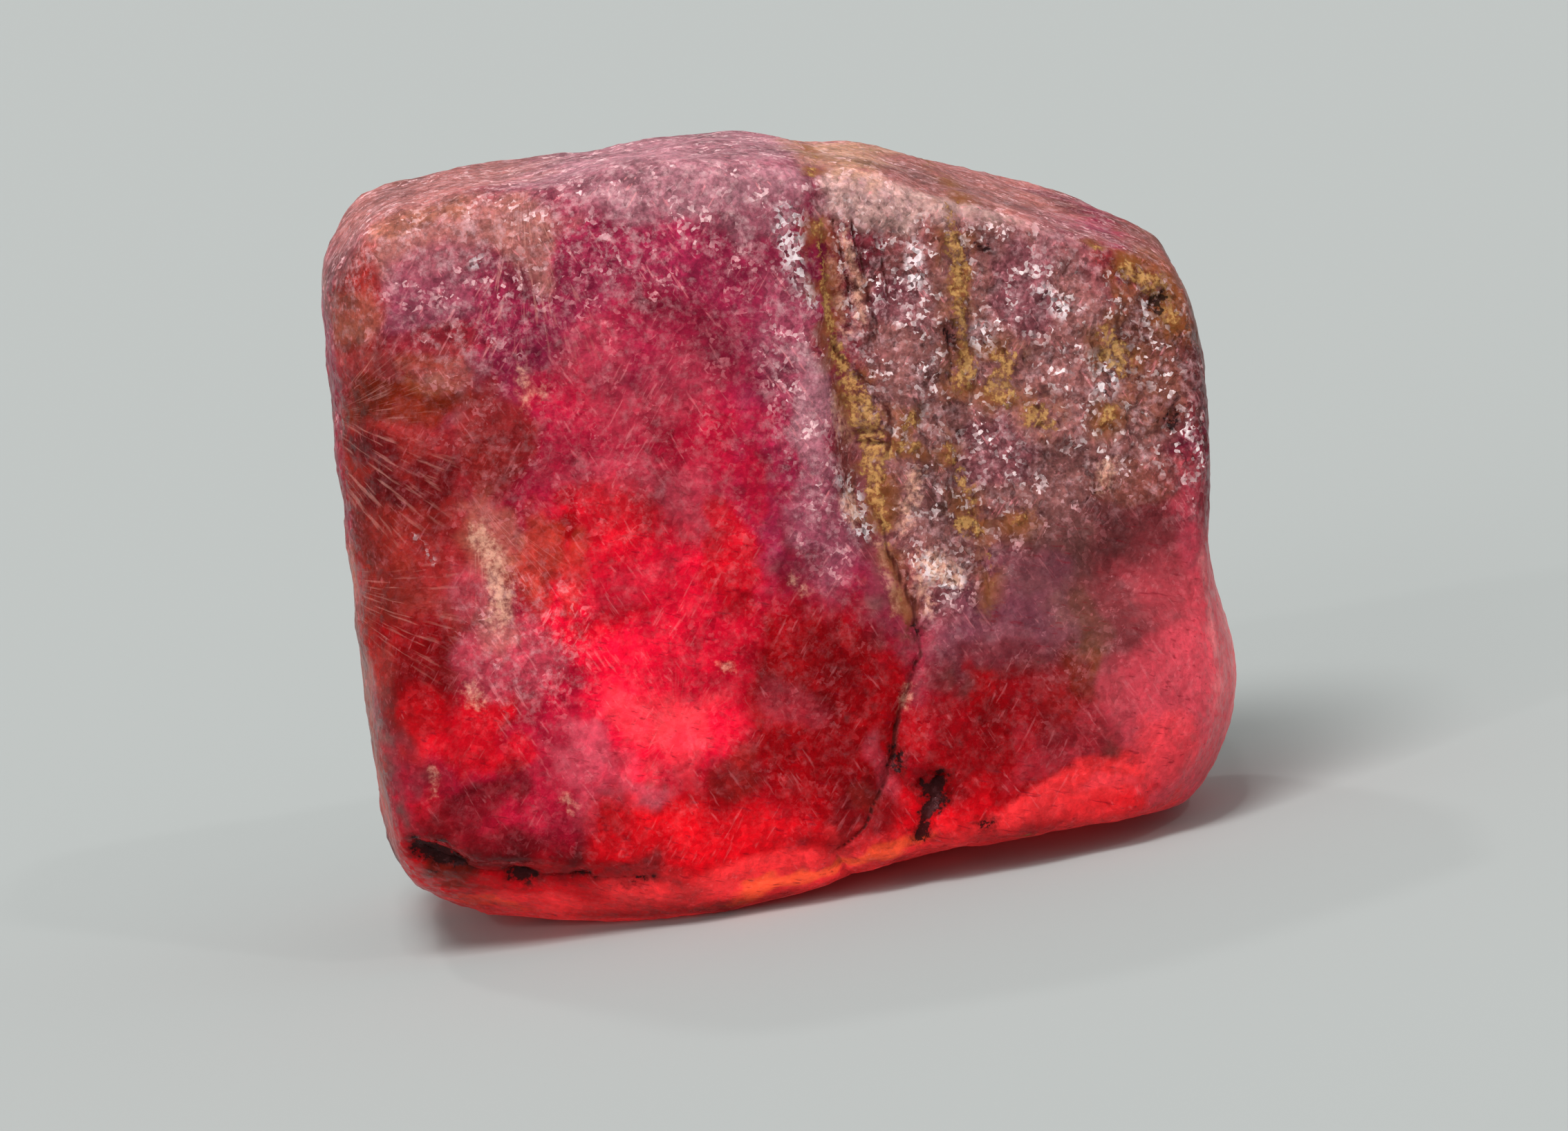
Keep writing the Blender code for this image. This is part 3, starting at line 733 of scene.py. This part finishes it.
def stone_colour(skin):
    """The stone's own colour under its fine texture: the ground, then the patches with frayed edges."""
    points = skin.points + layered(warp_at, DRIFT, skin.points)
    frayed = layered(noise_at, FRAY, skin.points) + layered(chips_at, FRAY_CHIPS, skin.points)
    colour = ground_colour(skin, points, frayed)
    for name, centre, radii, strength in ROUND_PATCHES:
        away = np.linalg.norm((points - np.array(centre)) / np.array(radii), axis=1) + 0.5 * frayed
        colour = blend(colour, shade(name), strength * (1 - smooth_step(away, 0.6, 1.1)))
    for name, x, z, half_width, half_height, tilt, strength in FRONT_PATCHES:
        away = seen_distance(points, x, z, half_width, half_height, tilt)
        away += frayed * 1.2 / (1 + min(half_width, half_height))
        colour = blend(colour, shade(name), skin.front * strength * (1 - smooth_step(away, 0.65, 1.1)))
    cloudy = 1 + (cloudiness(skin.points) - 1) * (0.4 + 0.6 * skin.off_lobe)
    return ALBEDO * colour * cloudy[:, None]


def cloudiness(points):
    """Light and dark inside the stone, around 1: broad clouds, then angular windows between healed cracks."""
    warped = points + layered(warp_at, WINDOW_DRIFT, points)
    value = 1 + layered(noise_at, BROAD_CLOUDS, points) + layered(chips_at, WINDOWS, warped)
    return np.clip(value, *CLOUDINESS_RANGE)


def fan_of(skin):
    """Fibres that radiate from the left margin: their angle, their reach from a focus and their strength."""
    angle, reach, strength = (np.zeros(len(skin.points)) for _ in range(3))
    for x, z, size, turn, spread, share in FANS:
        across, up = skin.points[:, 0] - x, skin.points[:, 2] - z
        here = np.degrees(np.arctan2(up, across))
        off = np.abs((here - turn + 180) % 360 - 180)
        away = np.hypot(across, up)
        weight = share * (1 - smooth_step(off, 0.6 * spread, spread))
        weight *= 1 - smooth_step(away, 0.5 * size, size)
        weight *= smooth_step(away, 0.1, 0.5) * skin.front
        nearest = weight > strength
        angle = np.where(nearest, np.radians(here), angle)
        reach = np.where(nearest, away, reach)
        strength = np.where(nearest, weight, strength)
    return angle, reach, strength


def glow_of(skin):
    """Painted glow that the skin emits for light shone up through it: along the foot, at the lobe's rim and in
    the front's patches.
    """
    points = skin.points + layered(warp_at, GLOW_DRIFT, skin.points)
    glow = FOOT_GLOW * (1 - smooth_step(points[:, 2], 0.2, FOOT_GLOW_HEIGHT)) * (1 - skin.front)
    glow += RIM_GLOW * smooth_step(points[:, 0], 8.0, 10.0) * (1 - smooth_step(points[:, 2], 4.0, 8.0))
    for x, z, half_width, half_height, strength in GLOW_PATCHES:
        away = seen_distance(points, x, z, half_width, half_height)
        glow += strength * skin.front * (1 - smooth_step(away, 0.2, 1.15))
    return glow


def frost_of(skin):
    """How thickly the skin is frosted, on upward-facing skin partly as painted light from above: most on the
    crest and the crushed right, least in the glowing foot.
    """
    points = skin.points + layered(warp_at, FROST_DRIFT, skin.points)
    crest = smooth_step(points[:, 2], 13.5, 17.4)
    # Upward-facing skin is frosted paler: partly frost, partly painted light falling from above.
    up = smooth_step(skin.normals[:, 2], 0.2, 0.8) * skin.off_lobe
    sides = (1 - skin.front) * skin.off_lobe
    places = [0.8 * crest, 0.7 * up, 0.3 * sides, 0.7 * skin.crushed]
    for x, z, half_width, half_height, inner, strength in FROST_PATCHES:
        away = seen_distance(points, x, z, half_width, half_height)
        places.append(strength * skin.front * (1 - smooth_step(away, inner, 1.2)))
    haze = 0.10 + 0.16 * smooth_step(points[:, 2], 7.0, 12.0) * skin.front
    haze *= 0.4 + 0.6 * smooth_step(points[:, 0], -9.5, -6.0)
    foot = smooth_step(points[:, 2], 0.5, 3.5)
    return np.clip((np.maximum.reduce(places) + haze) * (0.1 + 0.9 * foot), 0, 1)


def filling_of(skin):
    """The depth inside the ochre: the front's strokes, and the cracks that it fills on the other sides."""
    around = along(SEAM, skin.points[:, 2]) * (1 - skin.front)
    patchy = layered(noise_at, FILLED_PATCHES, skin.points)
    seam_fill = 0.16 * around * smooth_step(patchy, -0.1, 0.4) - np.abs(skin.seam)
    rear_fill = 0.14 * skin.back * smooth_step(patchy, -0.2, 0.3) - np.abs(skin.parting)
    filled = np.where(around > 0.05, np.maximum(seam_fill, rear_fill), -1.0)
    return np.maximum(skin.ochre, filled)


def masks_of(skin):
    """What the material reads at each point, by name."""
    angle, reach, strength = fan_of(skin)
    return {
        "ochre": filling_of(skin),
        "grime": skin.grime,
        "pale": skin.pale,
        "glints": skin.glints,
        "crack": crack_field(skin),
        "crushed": skin.crushed,
        "frost": frost_of(skin),
        "glow": glow_of(skin),
        "matte": skin.matte,
        "veins": layered(noise_at, VEINED_PLACES, skin.drawn),
        "clusters": layered(noise_at, CLUSTERS, skin.drawn),
        "fan_angle": angle,
        "fan_reach": reach,
        "fan": strength,
    }


def paint_skin(mesh, skin):
    """Puts the colour and the masks on the mesh, and gives back the masks' names."""
    colour = np.c_[stone_colour(skin), np.ones(len(skin.points))]
    attribute = mesh.attributes.new("stone", "FLOAT_COLOR", "POINT")
    attribute.data.foreach_set("color", colour.ravel().astype(np.float32))
    masks = masks_of(skin)
    for name, values in masks.items():
        attribute = mesh.attributes.new(name, "FLOAT", "POINT")
        attribute.data.foreach_set("value", values.astype(np.float32))
    return tuple(masks)


class Graph:
    """Builds a node tree from short calls. Each call returns the new node's main output."""

    def __init__(self, tree):
        self.tree = tree

    def put(self, kind, inputs, **settings):
        node = self.tree.nodes.new("ShaderNode" + kind)
        for name, value in settings.items():
            setattr(node, name, value)
        for name, value in inputs.items():
            if isinstance(value, bpy.types.NodeSocket):
                self.tree.links.new(value, node.inputs[name])
            else:
                node.inputs[name].default_value = value
        return node

    def attribute(self, name, output="Fac"):
        return self.put("Attribute", {}, attribute_name=name).outputs[output]

    def math(self, operation, a, b=0.0, c=0.0):
        return self.put("Math", {0: a, 1: b, 2: c}, operation=operation).outputs[0]

    def vector(self, operation, a, b=(0, 0, 0)):
        return self.put("VectorMath", {0: a, 1: b}, operation=operation).outputs[0]

    def scaled(self, vector, scale):
        return self.put("VectorMath", {0: vector, "Scale": scale}, operation="SCALE").outputs[0]

    def between(self, value, low, high, to_low=0.0, to_high=1.0):
        inputs = {0: value, 1: low, 2: high, 3: to_low, 4: to_high}
        return self.put("MapRange", inputs, interpolation_type="SMOOTHSTEP").outputs[0]

    def mix(self, share, under, over):
        return self.put("Mix", {0: share, 6: under, 7: over}, data_type="RGBA").outputs[2]

    def noise(self, place, size, detail=2.0, roughness=0.5, output=0):
        inputs = {"Vector": place, "Scale": 1 / size, "Detail": detail, "Roughness": roughness}
        return self.put("TexNoise", inputs).outputs[output]

    def cells(self, place, size):
        """A random colour for each cell."""
        return self.put("TexVoronoi", {"Vector": place, "Scale": 1 / size}).outputs["Color"]

    def channels(self, colour):
        return self.put("SeparateColor", {0: colour}).outputs

    def product(self, *values):
        result = values[0]
        for value in values[1:]:
            result = self.math("MULTIPLY", result, value)
        return result


def rgba(name):
    return (*shade(name), 1.0)


def drifted(g, place):
    """The place nudged by noise, so that cells on it have broken, uneven edges."""
    nudge = g.vector("SUBTRACT", g.noise(place, NUDGE_SIZE, output=1), (0.5, 0.5, 0.5))
    return g.vector("ADD", place, g.scaled(nudge, NUDGE))


def streaks(g, place, turn, long, short):
    """Short strokes that lean one way: 1 in a stroke's middle, 0 outside."""
    inputs = {"Vector": place, "Rotation": (0.3, math.radians(turn), 0.2), "Scale": (long, short, short)}
    leaning = g.put("Mapping", inputs, vector_type="TEXTURE").outputs[0]
    return g.between(g.noise(leaning, 1.0), 0.60, 0.74)


def grained(g, colour, cell, fine, frost):
    """The brightness of each crystal grain and of the finest texture: quiet where the stone is clear."""
    grain = g.between(cell[0], 0.0, 1.0, 0.84, 1.16)
    value = g.product(grain, g.between(fine, 0.25, 0.75, 0.66, 1.34))
    rough = g.math("MULTIPLY_ADD", frost, 0.75, 0.42)
    value = g.math("MULTIPLY_ADD", g.math("SUBTRACT", value, 1.0), rough, 1.0)
    return g.put("HueSaturation", {"Value": value, "Color": colour}).outputs[0]


def healed_cracks(g, place, colour, fields):
    """Dark and pale strokes of healed cracks, that lean three ways."""
    frost, veins = fields["frost"], fields["veins"]
    share = g.product(streaks(g, place, *DARK_STROKES), g.between(frost, 0.1, 0.7, 0.55, 0.15))
    colour = g.mix(share, colour, rgba("old vein"))
    rising = g.product(streaks(g, place, *RISING_STROKES), g.between(veins, -0.05, 0.25))
    falling = g.product(streaks(g, place, *FALLING_STROKES), g.between(veins, 0.05, -0.25))
    share = g.product(g.math("MAXIMUM", rising, falling), g.between(frost, 0.0, 0.8, 0.13, 0.42))
    return g.mix(share, colour, rgba("healed"))


def frosting(g, place, colour, fields):
    """Fibres that fan out from the margin, and clots of frost."""
    across = g.math("MULTIPLY", fields["fan_angle"], FIBRES_PER_RADIAN)
    seen = g.put("CombineXYZ", {0: across, 1: fields["fan_reach"]}).outputs[0]
    fibres = g.between(g.noise(seen, 1.0, roughness=0.6), 0.54, 0.68)
    colour = g.mix(g.product(fibres, fields["fan"], 0.45), colour, rgba("fibre"))
    clot = g.between(g.noise(place, CLOT, 4.0, 0.72), 0.46, 0.74)
    return g.mix(g.product(clot, fields["frost"], 0.55), colour, rgba("frost"))


def glitter(g, colour, cell, flake, fields):
    """Painted glints of pale flakes, and painted shade in the dark gaps, on the crushed skin, strongest where
    a flake and a cell agree.
    """
    crushed, frost = fields["crushed"], fields["frost"]
    dark = g.between(g.product(flake[1], cell[1]), 0.12, 0.02, 0.0, 0.36)
    colour = g.mix(g.product(dark, crushed), colour, rgba("gap"))
    many = g.math("MAXIMUM", crushed, g.math("MULTIPLY_ADD", frost, 0.75, 0.02))
    pale = g.between(g.product(flake[0], cell[0]), 0.34, 0.90)
    patch = g.between(fields["clusters"], -0.25, 0.35, 0.25, 1.0)
    glint_flake_colour = g.mix(many, rgba("pink glint flake"), rgba("white glint flake"))
    return g.mix(g.product(pale, many, patch), colour, glint_flake_colour)


def glints(g, colour, cell, flake, fields):
    """The largest flakes, painted as glints in a few crushed places, with dark gaps between them painted as
    shade.
    """
    near = g.between(fields["glints"], -0.22, 0.06)
    shining = g.between(g.product(flake[2], cell[2]), 0.10, 0.50)
    colour = g.mix(g.product(near, shining, 0.85), colour, rgba("glint"))
    gap = g.between(flake[1], 0.30, 0.10, 0.0, 0.6)
    return g.mix(g.product(near, gap), colour, rgba("glint gap shade"))


def ochre_filling(g, colour, fields, fine, ragged):
    """Iron-brown film round the ochre, then the ochre with its darker edge."""
    film = g.between(fields["ochre"], -0.60, 0.02, 0.0, 0.75)
    patch = g.between(g.math("MULTIPLY_ADD", ragged, 3.0, fields["clusters"]), -0.25, 0.25)
    colour = g.mix(g.product(film, patch), colour, rgba("iron film"))
    edged = g.math("MULTIPLY_ADD", ragged, 1.4, fields["ochre"])
    filling = g.mix(g.between(fine, 0.36, 0.62), rgba("dark ochre"), rgba("light ochre"))
    filling = g.mix(g.between(edged, 0.0, 0.12, 0.7, 0.0), filling, rgba("ochre edge"))
    share = g.product(g.between(edged, -0.03, 0.03), g.between(fine, 0.30, 0.56, 0.20, 0.85))
    return g.mix(share, colour, filling)


def stains(g, place, colour, fields, fine):
    """Pale clots, ochre, cracks darkened with painted shade and black grime, over one another."""
    coarse = g.between(g.noise(place, CLOT, 3.0, 0.7), 0.25, 0.75, -0.07, 0.07)
    ragged = g.math("ADD", coarse, g.between(fine, 0.25, 0.75, -0.05, 0.05))
    pale = g.between(g.math("MULTIPLY_ADD", ragged, 1.8, fields["pale"]), -0.24, 0.20)
    colour = g.mix(g.product(pale, g.between(fine, 0.30, 0.66, 0.15, 0.75)), colour, rgba("cream"))
    colour = ochre_filling(g, colour, fields, fine, ragged)
    # The cracks are darkened: painted shade in their grooves.
    broken = g.between(fields["clusters"], -0.3, 0.2, 0.3, 0.85)
    dark = g.product(g.between(fields["crack"], 0.30, 0.85), broken)
    colour = g.mix(dark, colour, rgba("crack"))
    soot = g.math("ADD", fields["grime"], g.math("MULTIPLY", ragged, 2.2))
    colour = g.mix(g.between(soot, -0.26, 0.02, 0.0, 0.6), colour, rgba("soot film"))
    return g.mix(g.between(soot, -0.03, 0.07, 0.0, 0.9), colour, rgba("soot"))


def skin_normal(g, place, cells, fields):
    """Grain as bump, and facets that each catch the light their own way: calm on the matte top."""
    strength = g.between(fields["matte"], 0.0, 1.0, 0.5, 0.12)
    height = g.noise(place, BUMP_SIZE, 4.0, 0.7)
    bump = g.put("Bump", {"Strength": strength, "Distance": BUMP_DEPTH * MM, "Height": height}).outputs[0]
    for random, amount in ((cells, 0.7), (g.cells(place, FACET), 0.6)):
        lean = g.vector("SUBTRACT", random, (0.5, 0.5, 0.5))
        tilt = g.math("MULTIPLY_ADD", fields["crushed"], 0.6 * amount, 0.4 * amount)
        tilt = g.product(tilt, g.between(fields["matte"], 0.0, 1.0, 1.0, 0.3))
        bump = g.vector("ADD", bump, g.scaled(lean, tilt))
    return g.vector("NORMALIZE", bump)


def skin_roughness(g, cell, fields):
    """Each grain has its own polish. The ochre and the matte top are dull."""
    grain = g.between(cell[0], 0.2, 0.9, 0.10, 0.50)
    earthy = g.between(fields["ochre"], -0.05, 0.05, 0.0, 0.8)
    return g.math("MAXIMUM", g.math("MAXIMUM", grain, earthy), g.math("MULTIPLY", fields["matte"], 0.7))


def glow_colour(g, colour, fields):
    """The skin's colour emitted as painted glow, except under the ochre and the grime."""
    clean = g.between(g.math("MAXIMUM", fields["ochre"], fields["grime"]), -0.1, 0.02, 1.0, 0.0)
    return g.mix(g.product(fields["glow"], clean), rgba("black"), colour)


def set_body(shader):
    """A cloudy stone: a faint reddish gloss, and light that goes a little way under the skin."""
    shader.inputs["IOR"].default_value = CORUNDUM_IOR
    shader.inputs["Specular IOR Level"].default_value = 0.07
    shader.inputs["Specular Tint"].default_value = (1.0, 0.4, 0.45, 1.0)
    shader.inputs["Subsurface Weight"].default_value = 0.2
    shader.inputs["Subsurface Radius"].default_value = (1.0, 0.12, 0.16)
    shader.inputs["Subsurface Scale"].default_value = LIGHT_DEPTH * MM
    shader.inputs["Emission Strength"].default_value = 1.0


def ruby_material(masks):
    material = bpy.data.materials.new("ruby_skin")
    material.use_nodes = True
    tree = material.node_tree
    g = Graph(tree)
    shader = tree.nodes["Principled BSDF"]
    place = g.scaled(g.put("TexCoord", {}).outputs["Object"], 1 / MM)
    fields = {name: g.attribute(name) for name in masks}
    cells = g.cells(drifted(g, place), CELL)
    cell = g.channels(cells)
    flake = g.channels(g.cells(place, FLAKE))
    fine = g.noise(place, FINE, 3.0, 0.65)
    colour = grained(g, g.attribute("stone", "Color"), cell, fine, fields["frost"])
    colour = healed_cracks(g, place, colour, fields)
    colour = frosting(g, place, colour, fields)
    # Painted glow: the skin emits its colour where light from below shines through.
    tree.links.new(glow_colour(g, colour, fields), shader.inputs["Emission Color"])
    # Painted glints on the flakes, with painted shade in the gaps between them.
    colour = glitter(g, colour, cell, flake, fields)
    colour = glints(g, colour, cell, flake, fields)
    colour = stains(g, place, colour, fields, fine)
    tree.links.new(colour, shader.inputs["Base Color"])
    tree.links.new(skin_roughness(g, cell, fields), shader.inputs["Roughness"])
    tree.links.new(skin_normal(g, place, cells, fields), shader.inputs["Normal"])
    set_body(shader)
    return material


def floor_material():
    material = bpy.data.materials.new("pale_floor")
    material.use_nodes = True
    shader = material.node_tree.nodes["Principled BSDF"]
    shader.inputs["Base Color"].default_value = FLOOR_COLOUR
    shader.inputs["Roughness"].default_value = 0.9
    shader.inputs["Specular IOR Level"].default_value = 0.1
    return material


def build_stone():
    stone = fine_skin()
    skin = Skin(stone.data)
    masks = paint_skin(stone.data, skin)
    shape_skin(stone.data, skin)
    stone.data.materials.clear()
    stone.data.materials.append(ruby_material(masks))
    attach(stone, "root")
    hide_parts(NODE)


def build_floor():
    bpy.ops.mesh.primitive_plane_add(size=FLOOR_SIZE * MM)
    floor = bpy.context.object
    floor.name = "floor"
    floor.data.materials.append(floor_material())


def add_sun(name, azimuth, elevation, strength, spread):
    """A far light from an azimuth (0 is in front, towards +X) and an elevation, in degrees."""
    light = bpy.data.lights.new(name, "SUN")
    light.energy = strength
    light.angle = math.radians(spread)
    lamp = bpy.data.objects.new(name, light)
    bpy.context.scene.collection.objects.link(lamp)
    a, e = math.radians(azimuth), math.radians(elevation)
    towards = Vector((math.sin(a) * math.cos(e), -math.cos(a) * math.cos(e), math.sin(e)))
    lamp.rotation_euler = towards.to_track_quat("Z", "Y").to_euler()


def build_lights():
    for sun in SUNS:
        add_sun(*sun)
    world = bpy.data.worlds.new("studio")
    world.use_nodes = True
    world.node_tree.nodes["Background"].inputs["Color"].default_value = STUDIO_COLOUR
    world.node_tree.nodes["Background"].inputs["Strength"].default_value = 1.0
    bpy.context.scene.world = world
    bpy.context.scene.view_settings.view_transform = "Standard"


def build_camera():
    forward = Vector((0, math.cos(VIEW_ELEVATION), -math.sin(VIEW_ELEVATION)))
    level_up = Vector((0, math.sin(VIEW_ELEVATION), math.cos(VIEW_ELEVATION)))
    right = math.cos(VIEW_ROLL) * Vector((1, 0, 0)) - math.sin(VIEW_ROLL) * level_up
    up = math.sin(VIEW_ROLL) * Vector((1, 0, 0)) + math.cos(VIEW_ROLL) * level_up
    data = bpy.data.cameras.new("camera")
    data.sensor_width = SENSOR
    data.lens = PIXELS_PER_MM * VIEW_DISTANCE * SENSOR / IMAGE_WIDTH
    data.clip_start = NEAR_CLIP * MM
    data.clip_end = FAR_CLIP * MM
    camera = bpy.data.objects.new("camera", data)
    bpy.context.scene.collection.objects.link(camera)
    turn = Matrix((right, up, -forward)).transposed().to_4x4()
    camera.matrix_world = Matrix.Translation((AIM - forward * VIEW_DISTANCE) * MM) @ turn
    bpy.context.scene.camera = camera


build_camera()
build_lights()
build_floor()
build_stone()
